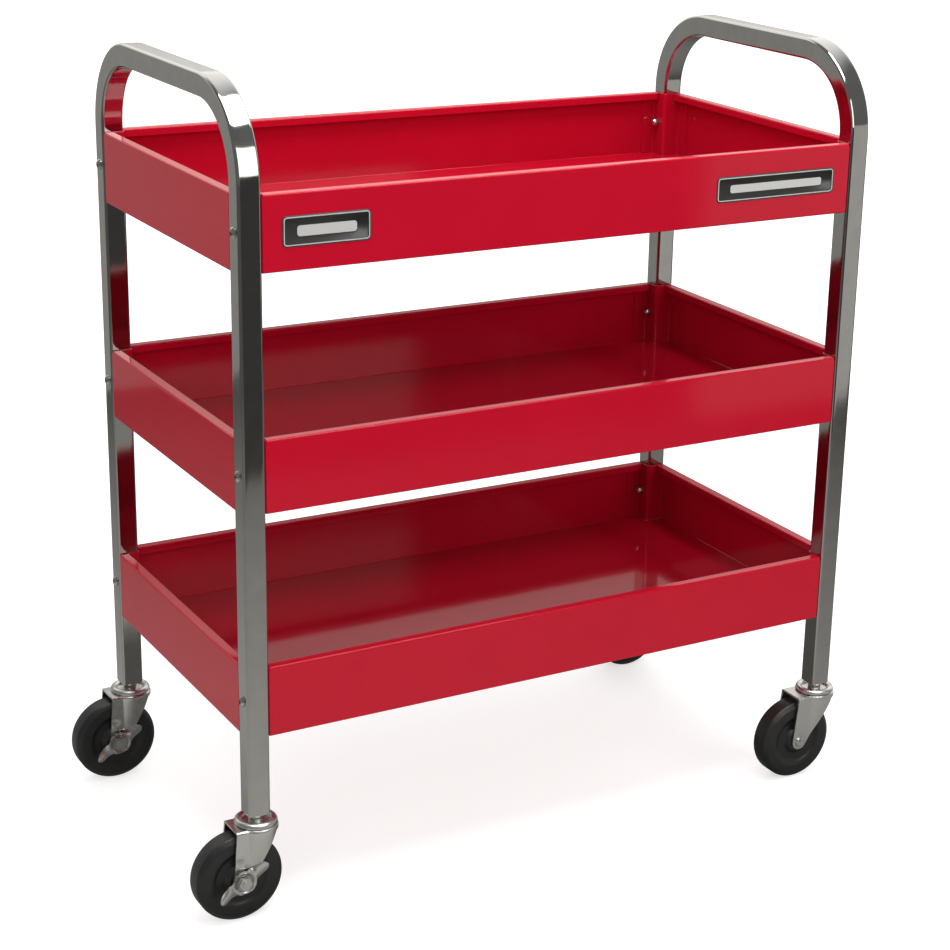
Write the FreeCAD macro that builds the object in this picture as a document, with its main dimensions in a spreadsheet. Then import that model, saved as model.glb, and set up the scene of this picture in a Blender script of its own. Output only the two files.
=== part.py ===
import FreeCAD, Part
import math
import os
import re
import Sketcher

# Three-tray tool cart: two bent square-tube end frames carry three folded sheet-steel trays on
# folded corner brackets, and each leg stands on a swivel caster. The left pair of casters has a
# side brake. X runs along the cart, Y across it and Z up. The floor is Z = 0, and the origin is
# under the middle of the whole footprint, which reaches further left than right because every
# wheel trails to the left.

# Driving sizes in millimetres, but for brake_tilt, in degrees, and ball_count.
SIZES = {
    # cart
    "cart_length": 780,
    "cart_depth": 411,
    "cart_height": 905,
    # end frame
    "tube_side": 25,
    "tube_wall": 1.5,
    "tube_edge": 3,
    "handle_bend": 101,
    "leg_bottom": 120,
    # trays
    "upper_rim": 797,
    "middle_rim": 543,
    "lower_rim": 291,
    "tray_height": 80,
    "sheet": 1,
    "sheet_bend": 1.4,
    "tray_setback": 1,
    "notch_gap": 1,
    "rim_depth": 12,
    "rim_lip": 9,
    # corner brackets and their screws
    "bracket_sheet": 1.2,
    "bracket_flange": 18,
    "bracket_gap": 0.2,
    "screw_drop": 38,
    "screw_radius": 3,
    "screw_head_radius": 6,
    "screw_head_height": 3.6,
    "screw_reach": 33,
    "recess_length": 6.6,
    "recess_width": 1.7,
    "nut_flats": 10,
    "nut_height": 5,
    "nut_ledge": 0.25,
    # badge plates
    "badge_thickness": 0.8,
    "badge_corner": 4,
    "left_badge_length": 98,
    "left_badge_height": 32,
    "left_badge_centre": -294,
    "right_badge_length": 162,
    "right_badge_height": 29,
    "right_badge_centre": 262,
    "badge_drop": 39.5,
    # casters
    "wheel_radius": 50,
    "tread_width": 28,
    "tread_edge": 5,
    "hub_width": 31,
    "hub_radius": 15,
    "hub_slope": 3,
    "web_width": 17,
    "web_radius": 30,
    "web_step": 1,
    "brake_trail": 24,
    "plain_trail": 32,
    "fork_gap": 32,
    "fork_sheet": 2.5,
    "fork_top": 108.5,
    "fork_head_radius": 24.5,
    "fork_skirt": 6,
    "fork_tip_radius": 10,
    "fork_channel_front": 14.7,
    "brake_fork_back": 29.5,
    "brake_fork_front": 17,
    "brake_fork_bow": 170,
    "plain_fork_back": 36,
    "plain_fork_front": 11.5,
    "ball_circle": 19.3,
    "ball_radius": 2.4,
    "ball_height": 110.4,
    "ball_count": 16,
    "race_gap": 0.3,
    "race_sheet": 1.5,
    "stem_radius": 5,
    "stem_head_radius": 8,
    "axle_radius": 4,
    "sleeve_radius": 6.5,
    "running_gap": 0.05,
    "axle_flats": 13,
    "axle_nut_height": 6.5,
    "axle_head_height": 5.3,
    "rivet_head_radius": 6,
    "rivet_head_height": 1.8,
    "plug_height": 30,
    "collar_height": 3,
    "collar_radius": 9,
    # brake lever
    "brake_tilt": 31,
    "brake_sheet": 2,
    "brake_disc": 15,
    "brake_reach": 33,
    "brake_width": 16,
    "brake_tab": 9,
    "brake_gap": 0.3,
}

doc = FreeCAD.newDocument("tool_cart")
sheet = doc.addObject("Spreadsheet::Sheet", "Sizes")
for row, (alias, size) in enumerate(SIZES.items(), start=1):
    sheet.set(f"A{row}", alias)
    sheet.set(f"B{row}", str(size))
    sheet.setAlias(f"B{row}", alias)
doc.recompute()

nodes = []

# The left wheels reach this much further out, halved, than the casters' heads do on the right.
FOOTPRINT_SHIFT = "(brake_trail + wheel_radius - fork_head_radius) / 2"


# ---- expressions, sketches and features ---------------------------------------------------


def cells(text):
    """The expression with each size's name pointed at its cell."""
    return re.sub(r"[a-z_]+", lambda word: "Sizes." * (word[0] in SIZES) + word[0], text)


def number(text):
    """The expression's value, for the first drawing of a sketch that the cells then drive."""
    return float(sheet.evalExpression(cells(text)))


def bind(item, name, text):
    item.setExpression(name, cells(text))


def new_body(label):
    item = doc.addObject("PartDesign::Body", label)
    item.Label = label
    return item


def place(item, across="0", along="0", up="0"):
    """Binds the item's place, given from the middle of the cart on the floor."""
    bind(item, "Placement.Base.x", f"{FOOTPRINT_SHIFT} + {across}")
    bind(item, "Placement.Base.y", along)
    bind(item, "Placement.Base.z", up)
    nodes.append(item)


def new_sketch(body, role, name, offset="0"):
    """A sketch on one of the body's origin planes, moved along the plane's normal."""
    plane = [feature for feature in body.Origin.OriginFeatures if feature.Role == role][0]
    sketch = body.newObject("Sketcher::SketchObject", name)
    sketch.AttachmentSupport = [(plane, "")]
    sketch.MapMode = "FlatFace"
    bind(sketch, "AttachmentOffset.Base.z", offset)
    return sketch


def hold(sketch, geometry, end, across, up):
    """Fixes a point of the sketch at two expressions."""
    for kind, text in (("DistanceX", across), ("DistanceY", up)):
        index = sketch.addConstraint(Sketcher.Constraint(kind, geometry, end, number(text)))
        bind(sketch, f"Constraints[{index}]", text)


def arc_between(start, end, radius):
    """The shorter arc from start to end; a positive radius keeps its centre on the left."""
    chord = end - start
    left = FreeCAD.Vector(-chord.y, chord.x, 0).normalize()
    side = math.copysign(1, radius)
    rise = math.sqrt(radius * radius - chord.Length * chord.Length / 4)
    centre = (start + end) / 2 + left * rise * side
    middle = centre - left * radius
    return Part.Arc(start, middle, end)


def draw(sketch, corners, closed=True):
    """Draws runs through corners of (across, up) or (across, up, radius of the run that leaves).

    A positive radius turns the run to the left and a negative one to the right.
    """
    points = [FreeCAD.Vector(number(corner[0]), number(corner[1]), 0) for corner in corners]
    runs = len(corners) if closed else len(corners) - 1
    starts, ends = [], []
    for index in range(runs):
        start, end = points[index], points[(index + 1) % len(points)]
        radius = number(corners[index][2]) if len(corners[index]) > 2 else 0
        if radius:
            geometry = sketch.addGeometry(arc_between(start, end, radius))
            link = Sketcher.Constraint("Radius", geometry, abs(radius))
            link = sketch.addConstraint(link)
            bind(sketch, f"Constraints[{link}]", f"abs({corners[index][2]})")
        else:
            geometry = sketch.addGeometry(Part.LineSegment(start, end))
        turned = radius < 0
        starts.append((geometry, 2 if turned else 1))
        ends.append((geometry, 1 if turned else 2))
    for index in range(runs):
        if index or closed:
            sketch.addConstraint(Sketcher.Constraint("Coincident", *ends[index - 1], *starts[index]))
        hold(sketch, *starts[index], *corners[index][:2])
    if not closed:
        hold(sketch, *ends[-1], *corners[-1][:2])


def draw_box(sketch, left, low, right, high):
    draw(sketch, [(left, low), (right, low), (right, high), (left, high)])


def draw_rounded_box(sketch, half_length, half_height, radius, across="0", up="0"):
    """A box with rounded corners about a centre."""
    inner_x, inner_y = f"({half_length} - {radius})", f"({half_height} - {radius})"
    corners = []
    for sign_x, sign_y, arc_first in ((1, -1, 1), (1, 1, 0), (-1, 1, 1), (-1, -1, 0)):
        side = (f"{across} + {sign_x} * {half_length}", f"{up} + {sign_y} * {inner_y}")
        level = (f"{across} + {sign_x} * {inner_x}", f"{up} + {sign_y} * {half_height}")
        pair = [level, side] if arc_first else [side, level]
        corners += [(*pair[0], radius), pair[1]]
    draw(sketch, corners)


def draw_circle(sketch, radius, across="0", up="0"):
    centre = FreeCAD.Vector(number(across), number(up), 0)
    circle = Part.Circle(centre, FreeCAD.Vector(0, 0, 1), number(radius))
    geometry = sketch.addGeometry(circle)
    index = sketch.addConstraint(Sketcher.Constraint("Radius", geometry, number(radius)))
    bind(sketch, f"Constraints[{index}]", radius)
    hold(sketch, geometry, 3, across, up)


def draw_hexagon(sketch, flats):
    corner = f"{flats} / sqrt(3)"
    draw(sketch, [(f"{corner} * cos({turn})", f"{corner} * sin({turn})") for turn in range(0, 360, 60)])


def pad(body, sketch, length, middle=False, back=False):
    feature = body.newObject("PartDesign::Pad", sketch.Name + "_pad")
    feature.Profile = sketch
    feature.SideType = "Symmetric" if middle else "One side"
    feature.Reversed = back
    bind(feature, "Length", length)
    sketch.Visibility = False
    return feature


def pocket(body, sketch, depth, middle=False, forward=False):
    """Cuts against the sketch plane's normal, or along it when forward."""
    feature = body.newObject("PartDesign::Pocket", sketch.Name + "_cut")
    feature.Profile = sketch
    feature.SideType = "Symmetric" if middle else "One side"
    feature.Reversed = forward
    bind(feature, "Length", depth)
    return feature


def spin(body, sketch, axis, cut=False):
    """A full turn of the sketch about its own horizontal or vertical axis."""
    kind = "PartDesign::Groove" if cut else "PartDesign::Revolution"
    feature = body.newObject(kind, sketch.Name + "_turn")
    feature.Profile = sketch
    feature.ReferenceAxis = (sketch, [axis])
    feature.Angle = 360
    return feature


def round_edges(body, name, radius, chosen):
    """Fillets those edges of the body's last feature that chosen accepts."""
    doc.recompute()
    base = body.Tip
    names = [f"Edge{index}" for index, edge in enumerate(base.Shape.Edges, start=1) if chosen(edge)]
    feature = body.newObject("PartDesign::Fillet", name)
    feature.Base = (base, names)
    bind(feature, "Radius", radius)
    return feature


def four_corners(piece, label):
    """One node of four separate solids: the piece mirrored front to back and left to right."""
    back = doc.addObject("Part::Mirroring", label + "_back")
    back.Source = piece
    back.Normal = (0, 1, 0)
    pair = doc.addObject("Part::Compound", label + "_pair")
    pair.Links = [piece, back]
    right = doc.addObject("Part::Mirroring", label + "_right")
    right.Source = pair
    right.Normal = (1, 0, 0)
    group = doc.addObject("Part::Compound", label)
    group.Label = label
    group.Links = [pair, right]
    place(group)


# ---- end frames ---------------------------------------------------------------------------


def end_frame(label, side):
    """A square tube bent into a tall U turned upside down: two legs and the push handle."""
    body = new_body(label)
    leg = "(cart_depth - tube_side) / 2"
    bend = "(handle_bend - tube_side / 2)"
    top = "(cart_height - tube_side / 2)"
    section = new_sketch(body, "XY_Plane", label + "_section", "leg_bottom")
    draw_rounded_box(section, "tube_side / 2", "tube_side / 2", "tube_edge", up=f"-{leg}")
    bore_half, bore_edge = "(tube_side / 2 - tube_wall)", "(tube_edge - tube_wall)"
    draw_rounded_box(section, bore_half, bore_half, bore_edge, up=f"-{leg}")
    path = new_sketch(body, "YZ_Plane", label + "_path")
    draw(
        path,
        [
            (f"-{leg}", "leg_bottom"),
            (f"-{leg}", f"{top} - {bend}", f"-{bend}"),
            (f"-{leg} + {bend}", top),
            (f"{leg} - {bend}", top, f"-{bend}"),
            (leg, f"{top} - {bend}"),
            (leg, "leg_bottom"),
        ],
        closed=False,
    )
    tube = body.newObject("PartDesign::AdditivePipe", label + "_tube")
    tube.Profile = section
    tube.Spine = path
    holes = new_sketch(body, "YZ_Plane", label + "_screw_holes")
    for rim in ("upper_rim", "middle_rim", "lower_rim"):
        for front in ("-", ""):
            draw_circle(holes, "screw_radius + bracket_gap", front + leg, f"{rim} - screw_drop")
    pocket(body, holes, "2 * tube_side", middle=True)
    place(body, f"{side} * (cart_length - tube_side) / 2")


end_frame("left_end_frame", -1)
end_frame("right_end_frame", 1)


# ---- trays --------------------------------------------------------------------------------

PANEL_X = "(cart_length / 2 - tray_setback)"
PANEL_Y = "(cart_depth / 2 - tray_setback)"
NOTCH_X = "(cart_length / 2 - tube_side - notch_gap)"
NOTCH_Y = "(cart_depth / 2 - tube_side - notch_gap)"


def draw_cross(sketch, inset):
    """The tray's plan with its four corner notches, drawn in from the panels by the inset."""
    far_x, far_y = f"({PANEL_X} - {inset})", f"({PANEL_Y} - {inset})"
    quarter = [(NOTCH_X, far_y), (NOTCH_X, NOTCH_Y), (far_x, NOTCH_Y)]
    corners = [("-" + x, "-" + y) for x, y in quarter[::-1]]
    corners += [(x, "-" + y) for x, y in quarter]
    corners += quarter[::-1]
    corners += [("-" + x, y) for x, y in quarter]
    draw(sketch, corners)


def draw_mirrored_boxes(sketch, low_x, low_y, high_x, high_y):
    """The same box in each of the four corners of the plan."""
    for sign_x in (1, -1):
        for sign_y in (1, -1):
            draw_box(
                sketch,
                f"{sign_x} * ({low_x if sign_x > 0 else high_x})",
                f"{sign_y} * ({low_y if sign_y > 0 else high_y})",
                f"{sign_x} * ({high_x if sign_x > 0 else low_x})",
                f"{sign_y} * ({high_y if sign_y > 0 else low_y})",
            )


def tray(label, rim):
    """A tray folded from one sheet: a floor, four walls, and a rim turned in and then down."""
    body = new_body(label)
    blank = new_sketch(body, "XY_Plane", label + "_blank")
    draw_cross(blank, "0")
    pad(body, blank, "tray_height")
    well = new_sketch(body, "XY_Plane", label + "_well", "sheet")
    draw_cross(well, "sheet")
    pocket(body, well, "tray_height - sheet - rim_lip", forward=True)
    mouth = new_sketch(body, "XY_Plane", label + "_mouth", "tray_height")
    draw_cross(mouth, "rim_depth")
    pocket(body, mouth, "rim_lip + sheet")
    # The hollow of the rim, between the wall and the turned-down lip.
    hollow = new_sketch(body, "XY_Plane", label + "_rim_hollow", "tray_height - sheet")
    lip_x, lip_y = f"{PANEL_X} - rim_depth + sheet", f"{PANEL_Y} - rim_depth + sheet"
    wall_x, wall_y = f"{PANEL_X} - sheet", f"{PANEL_Y} - sheet"
    for sign in (1, -1):
        near, far = (lip_y, wall_y) if sign > 0 else (wall_y, lip_y)
        draw_box(hollow, f"-{NOTCH_X}", f"{sign} * ({near})", NOTCH_X, f"{sign} * ({far})")
        near, far = (lip_x, wall_x) if sign > 0 else (wall_x, lip_x)
        draw_box(hollow, f"{sign} * ({near})", f"-{NOTCH_Y}", f"{sign} * ({far})", NOTCH_Y)
    pocket(body, hollow, "rim_lip")
    # The rim stops short of each notch, where the corner bracket comes up beside the leg.
    relief = new_sketch(body, "XY_Plane", label + "_rim_relief", "tray_height")
    short = "(bracket_gap + bracket_sheet)"
    draw_mirrored_boxes(relief, f"{NOTCH_X} - {short}", f"{PANEL_Y} - rim_depth - sheet", NOTCH_X, wall_y)
    draw_mirrored_boxes(relief, f"{PANEL_X} - rim_depth - sheet", f"{NOTCH_Y} - {short}", wall_x, NOTCH_Y)
    pocket(body, relief, "rim_lip")
    height, panel_x, panel_y = number("tray_height"), number(PANEL_X), number(PANEL_Y)
    rim_x, rim_y = panel_x - number("rim_depth"), panel_y - number("rim_depth")

    def is_fold(edge):
        box = edge.BoundBox
        if box.ZLength > 0.01 or edge.Length < 100:
            return False
        level = min(abs(box.ZMin), abs(box.ZMin - height)) < 0.01
        outside = abs(abs(box.Center.x) - panel_x) < 0.01 or abs(abs(box.Center.y) - panel_y) < 0.01
        inside = abs(abs(box.Center.x) - rim_x) < 0.01 or abs(abs(box.Center.y) - rim_y) < 0.01
        return level and (outside or inside and box.ZMin > height / 2)

    round_edges(body, label + "_folds", "sheet_bend", is_fold)
    place(body, up=f"{rim} - tray_height")


TRAYS = {"upper": "upper_rim", "middle": "middle_rim", "lower": "lower_rim"}
for name, rim in TRAYS.items():
    tray(f"{name}_tray", rim)


# ---- corner brackets, screws and nuts -----------------------------------------------------

LEG_X = "(cart_length / 2 - tube_side - bracket_gap)"
LEG_Y = "(cart_depth / 2 - tube_side - bracket_gap)"


def corner_bracket(label, rim):
    """A strip folded four times to wrap the leg, with a flange spot-welded to each wall."""
    body = new_body(label + "_front_left")
    wall_x, wall_y = f"({PANEL_X} - sheet)", f"({PANEL_Y} - sheet)"
    in_x, in_y = f"({LEG_X} - bracket_sheet)", f"({LEG_Y} - bracket_sheet)"
    reach_x, reach_y = f"({in_x} - bracket_flange)", f"({in_y} - bracket_flange)"
    strip = new_sketch(body, "XY_Plane", label + "_strip", "sheet")
    draw(
        strip,
        [
            (f"-{reach_x}", f"-{wall_y}"),
            (f"-{reach_x}", f"-({wall_y} - bracket_sheet)"),
            (f"-{in_x}", f"-({wall_y} - bracket_sheet)"),
            (f"-{in_x}", f"-{in_y}"),
            (f"-({wall_x} - bracket_sheet)", f"-{in_y}"),
            (f"-({wall_x} - bracket_sheet)", f"-{reach_y}"),
            (f"-{wall_x}", f"-{reach_y}"),
            (f"-{wall_x}", f"-{LEG_Y}"),
            (f"-{LEG_X}", f"-{LEG_Y}"),
            (f"-{LEG_X}", f"-{wall_y}"),
        ],
    )
    pad(body, strip, "tray_height - 2 * sheet - bracket_gap")
    # The two walls beside the leg stand higher than the flanges, up to the rim.
    walls = new_sketch(body, "XY_Plane", label + "_walls", "sheet")
    draw(
        walls,
        [
            (f"-{in_x}", f"-{wall_y}"),
            (f"-{in_x}", f"-{in_y}"),
            (f"-{wall_x}", f"-{in_y}"),
            (f"-{wall_x}", f"-{LEG_Y}"),
            (f"-{LEG_X}", f"-{LEG_Y}"),
            (f"-{LEG_X}", f"-{wall_y}"),
        ],
    )
    pad(body, walls, "tray_height - sheet - bracket_gap")
    hole = new_sketch(body, "YZ_Plane", label + "_hole", f"-({in_x} - sheet)")
    along = "-(cart_depth - tube_side) / 2"
    draw_circle(hole, "screw_radius + bracket_gap", along, "tray_height - screw_drop")
    pocket(body, hole, "3 * bracket_sheet")
    bind(body, "Placement.Base.z", f"{rim} - tray_height")
    four_corners(body, label)


def tray_screw(label, rim):
    """A pan-head machine screw with a cross recess, through the leg from the cart's end."""
    body = new_body(label + "_front_left")
    profile = new_sketch(body, "XZ_Plane", label + "_profile")
    draw(
        profile,
        [
            ("-screw_head_height", "0"),
            ("screw_reach", "0"),
            ("screw_reach", "screw_radius"),
            ("0", "screw_radius"),
            ("0", "screw_head_radius"),
            ("-screw_head_height / 3", "screw_head_radius", "screw_head_radius"),
        ],
    )
    spin(body, profile, "H_Axis")
    cross = new_sketch(body, "YZ_Plane", label + "_recess", "-screw_head_height / 2")
    long, short = "recess_length / 2", "recess_width / 2"
    quarter = [(long, short), (short, short), (short, long)]
    turns = []
    for sign_x, sign_y, order in ((1, 1, 1), (-1, 1, -1), (-1, -1, 1), (1, -1, -1)):
        turns += [(f"{sign_x} * {x}", f"{sign_y} * {y}") for x, y in quarter[::order]]
    draw(cross, turns)
    pocket(body, cross, "screw_head_height")
    bind(body, "Placement.Base.x", "-cart_length / 2")
    bind(body, "Placement.Base.y", "-(cart_depth - tube_side) / 2")
    bind(body, "Placement.Base.z", f"{rim} - screw_drop")
    four_corners(body, label)


def dome_nut(label, rim):
    """A hexagon nut closed by a dome, on the screw's end inside the tray."""
    body = new_body(label + "_front_left")
    hexagon = new_sketch(body, "YZ_Plane", label + "_hexagon")
    draw_hexagon(hexagon, "nut_flats")
    pad(body, hexagon, "nut_height")
    dome = new_sketch(body, "XZ_Plane", label + "_dome")
    radius = "(nut_flats / 2 - nut_ledge)"
    draw(
        dome,
        [
            ("nut_height / 2", "0"),
            (f"nut_height + {radius}", "0", radius),
            ("nut_height", radius),
            ("nut_height / 2", radius),
        ],
    )
    spin(body, dome, "H_Axis")
    bore = new_sketch(body, "YZ_Plane", label + "_bore")
    draw_circle(bore, "screw_radius + running_gap")
    pocket(body, bore, "screw_reach + sheet - tube_side - bracket_sheet - bracket_gap", forward=True)
    bind(body, "Placement.Base.x", f"-({LEG_X} - bracket_sheet)")
    bind(body, "Placement.Base.y", "-(cart_depth - tube_side) / 2")
    bind(body, "Placement.Base.z", f"{rim} - screw_drop")
    four_corners(body, label)


for name, rim in TRAYS.items():
    corner_bracket(f"{name}_corner_brackets", rim)
    tray_screw(f"{name}_tray_screws", rim)
    dome_nut(f"{name}_dome_nuts", rim)


# ---- badge plates -------------------------------------------------------------------------


def badge(label, length, height, centre):
    """A plain embossed plate stuck to the front panel of the upper tray."""
    body = new_body(label)
    plate = new_sketch(body, "XZ_Plane", label + "_plate", PANEL_Y)
    draw_rounded_box(plate, f"{length} / 2", f"{height} / 2", "badge_corner")
    pad(body, plate, "badge_thickness")
    place(body, across=centre, up="upper_rim - badge_drop")


badge("left_badge", "left_badge_length", "left_badge_height", "left_badge_centre")
badge("right_badge", "right_badge_length", "right_badge_height", "right_badge_centre")


# ---- casters ------------------------------------------------------------------------------
# Each caster's pieces are drawn about its swivel axis on the floor, or about its axle's middle,
# and then placed under their leg.

FORK_Y = "(fork_gap / 2 + fork_sheet)"
LEVER_OUTSIDE = f"({FORK_Y} + 2 * brake_gap + brake_sheet)"
STEM_REACH = "(leg_bottom + plug_height)"
COLLAR_TOP = "(leg_bottom - collar_height)"


def caster_socket(label):
    """A square plug driven into the end of the leg, with a round shoulder under the tube."""
    body = new_body(label)
    plug = new_sketch(body, "XY_Plane", label + "_plug", "leg_bottom")
    half = "(tube_side / 2 - tube_wall - running_gap)"
    draw_rounded_box(plug, half, half, "(tube_edge - tube_wall)")
    pad(body, plug, "plug_height")
    shoulder = new_sketch(body, "XY_Plane", label + "_shoulder", COLLAR_TOP)
    draw_circle(shoulder, "collar_radius")
    pad(body, shoulder, "collar_height")
    bore = new_sketch(body, "XY_Plane", label + "_bore", STEM_REACH)
    draw_circle(bore, "stem_radius + running_gap")
    pocket(body, bore, "2 * plug_height")
    return body


def caster_stem(label):
    """The king pin: it stands in the socket and is riveted over under the fork's top plate."""
    body = new_body(label)
    profile = new_sketch(body, "XZ_Plane", label + "_profile")
    plate = "(fork_top - fork_sheet - race_gap)"
    draw(
        profile,
        [
            ("0", plate + " - fork_sheet"),
            ("stem_head_radius", plate + " - fork_sheet"),
            ("stem_head_radius", plate),
            ("stem_radius", plate),
            ("stem_radius", "ball_height"),
            ("stem_head_radius", "ball_height"),
            ("stem_head_radius", COLLAR_TOP),
            ("stem_radius", COLLAR_TOP),
            ("stem_radius", STEM_REACH),
            ("0", STEM_REACH),
        ],
    )
    spin(body, profile, "V_Axis")
    return body


def raceway_cap(label):
    """A pressed dish whose rolled rim covers the ball track like a gutter turned over."""
    body = new_body(label)
    profile = new_sketch(body, "XZ_Plane", label + "_profile")
    inner, outer = "(ball_radius + race_gap)", "(ball_radius + race_gap + race_sheet)"
    centre, level, skirt = "ball_circle", "ball_height", "(fork_top + 3 * race_gap)"
    floor = "(ball_height - race_sheet)"
    draw(
        profile,
        [
            ("stem_radius + running_gap", floor),
            (f"{centre} - {inner}", floor),
            (f"{centre} - {inner}", level, f"-{inner}"),
            (centre, f"{level} + {inner}", f"-{inner}"),
            (f"{centre} + {inner}", level),
            (f"{centre} + {inner}", skirt),
            (f"{centre} + {outer}", skirt),
            (f"{centre} + {outer}", level, outer),
            (centre, f"{level} + {outer}", outer),
            (f"{centre} - {outer}", level),
            ("stem_radius + running_gap", level),
        ],
    )
    spin(body, profile, "V_Axis")
    return body


def bearing_balls(label):
    """The ring of loose steel balls that the fork turns on."""
    body = new_body(label)
    body.AllowCompound = True
    ball = body.newObject("PartDesign::AdditiveSphere", label + "_ball")
    bind(ball, "Radius", "ball_radius")
    bind(ball, "Placement.Base.x", "ball_circle")
    bind(ball, "Placement.Base.z", "ball_height")
    axis = [feature for feature in body.Origin.OriginFeatures if feature.Role == "Z_Axis"][0]
    ring = body.newObject("PartDesign::PolarPattern", label + "_ring")
    ring.Originals = [ball]
    ring.Axis = (axis, [""])
    ring.Angle = 360
    bind(ring, "Occurrences", "ball_count")
    body.Tip = ring
    return body


def fork(label, style):
    """A pressed yoke: a round head with a skirt, a flat top plate, and two tapering legs.

    Each leg's rear edge and front edge run down to meet the rounded tip at a tangent, and the
    front edge of the braked style is bowed.
    """
    body = new_body(label)
    trail, back, front = f"{style}_trail", f"{style}_fork_back", f"{style}_fork_front"
    tip = "fork_tip_radius"
    head = new_sketch(body, "XY_Plane", label + "_head", "fork_top")
    draw_circle(head, "fork_head_radius")
    pad(body, head, "fork_skirt", back=True)
    plate = new_sketch(body, "XY_Plane", label + "_plate", "fork_top")
    draw_box(plate, f"-{back}", f"-{FORK_Y}", "0", FORK_Y)
    pad(body, plate, "fork_skirt", back=True)
    legs = new_sketch(body, "XZ_Plane", label + "_legs")
    rise, over = "(fork_top - fork_sheet - wheel_radius)", f"({back} - {trail})"
    rear_lean = f"(asin({tip} / hypot({over}, {rise})) - atan({over} / {rise}))"
    drop, run = "(fork_top - fork_skirt - wheel_radius)", f"({front} + {trail})"
    front_lean = f"(atan({run} / {drop}) - asin({tip} / hypot({run}, {drop})))"
    draw(
        legs,
        [
            (f"-{trail} - {tip} * cos({rear_lean})", f"wheel_radius + {tip} * sin({rear_lean})", tip),
            (
                f"-{trail} + {tip} * cos({front_lean})",
                f"wheel_radius - {tip} * sin({front_lean})",
                "brake_fork_bow" if style == "brake" else "0",
            ),
            (front, "fork_top - fork_skirt"),
            (front, "fork_top - fork_sheet"),
            (f"-{back}", "fork_top - fork_sheet"),
        ],
    )
    pad(body, legs, f"2 * {FORK_Y}", middle=True)
    under = new_sketch(body, "XY_Plane", label + "_under", "fork_top - fork_skirt")
    draw_circle(under, "fork_head_radius - fork_sheet")
    pocket(body, under, "fork_skirt - fork_sheet", forward=True)
    channel = new_sketch(body, "XZ_Plane", label + "_channel")
    draw_box(channel, "-3 * wheel_radius", "0", "fork_channel_front", "fork_top - fork_sheet")
    pocket(body, channel, "fork_gap", middle=True)
    axle_hole = new_sketch(body, "XZ_Plane", label + "_axle_hole")
    draw_circle(axle_hole, "axle_radius + running_gap", f"-{trail}", "wheel_radius")
    pocket(body, axle_hole, "2 * fork_gap", middle=True)
    stem_hole = new_sketch(body, "XY_Plane", label + "_stem_hole", "fork_top + sheet")
    draw_circle(stem_hole, "stem_radius + running_gap")
    pocket(body, stem_hole, "3 * fork_sheet")
    track = new_sketch(body, "XZ_Plane", label + "_track")
    draw_circle(track, "ball_radius + running_gap", "ball_circle", "ball_height")
    spin(body, track, "V_Axis", cut=True)
    return body


def wheel(label):
    """A hard rubber wheel moulded in one piece: tread, stepped side faces and a raised hub."""
    body = new_body(label)
    profile = new_sketch(body, "YZ_Plane", label + "_profile")
    half = "tread_width / 2"
    steps = [
        ("hub_width / 2", "sleeve_radius + running_gap"),
        ("hub_width / 2", "hub_radius"),
        ("(web_width + web_step) / 2", "hub_radius + hub_slope"),
        ("web_width / 2", "web_radius"),
        (f"{half} - web_step", "web_radius + hub_slope"),
    ]
    side = (half, "wheel_radius - tread_edge")
    tread = (f"{half} - tread_edge", "wheel_radius")
    left = [(f"-({across})", up) for across, up in (tread, side, *steps[::-1])]
    left[0] = (*left[0], "tread_edge")
    draw(profile, [*steps, (*side, "tread_edge"), tread, *left])
    spin(body, profile, "H_Axis")
    return body


def hub_sleeve(label):
    """The steel sleeve clamped between the fork's legs, which the wheel turns on."""
    body = new_body(label)
    ring = new_sketch(body, "XZ_Plane", label + "_ring")
    draw_circle(ring, "sleeve_radius")
    draw_circle(ring, "axle_radius + running_gap")
    pad(body, ring, "fork_gap", middle=True)
    return body


def axle_bolt(label):
    """A hexagon-head bolt through the fork, the sleeve and the lever, its head at the back."""
    body = new_body(label)
    head = new_sketch(body, "XZ_Plane", label + "_head", f"-{FORK_Y}")
    draw_hexagon(head, "axle_flats")
    pad(body, head, "axle_head_height", back=True)
    shank = new_sketch(body, "XZ_Plane", label + "_shank", f"-{FORK_Y}")
    draw_circle(shank, "axle_radius")
    pad(body, shank, f"{FORK_Y} + {LEVER_OUTSIDE} + axle_nut_height + sheet")
    return body


def axle_nut(label):
    """The locking nut on the front end of the bolt, just clear of the brake lever."""
    body = new_body(label)
    hexagon = new_sketch(body, "XZ_Plane", label + "_hexagon", LEVER_OUTSIDE)
    draw_hexagon(hexagon, "axle_flats")
    draw_circle(hexagon, "axle_radius + running_gap")
    pad(body, hexagon, "axle_nut_height")
    return body


def axle_rivet(label):
    """A plain caster's axle: a rod peened over at both ends, with a dimple in each head."""
    body = new_body(label)
    profile = new_sketch(body, "YZ_Plane", label + "_profile")
    radius, height = "rivet_head_radius", "rivet_head_height"
    front = [
        (f"{FORK_Y} + {height} / 2", "0"),
        (f"{FORK_Y} + {height}", f"{radius} / 2"),
        (f"{FORK_Y} + {height}", f"{radius} - {height} / 2"),
        (f"{FORK_Y} + {height} / 2", radius),
        (FORK_Y, radius),
        (FORK_Y, "axle_radius"),
    ]
    draw(profile, front + [(f"-({across})", up) for across, up in front[::-1]])
    spin(body, profile, "H_Axis")
    return body


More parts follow.
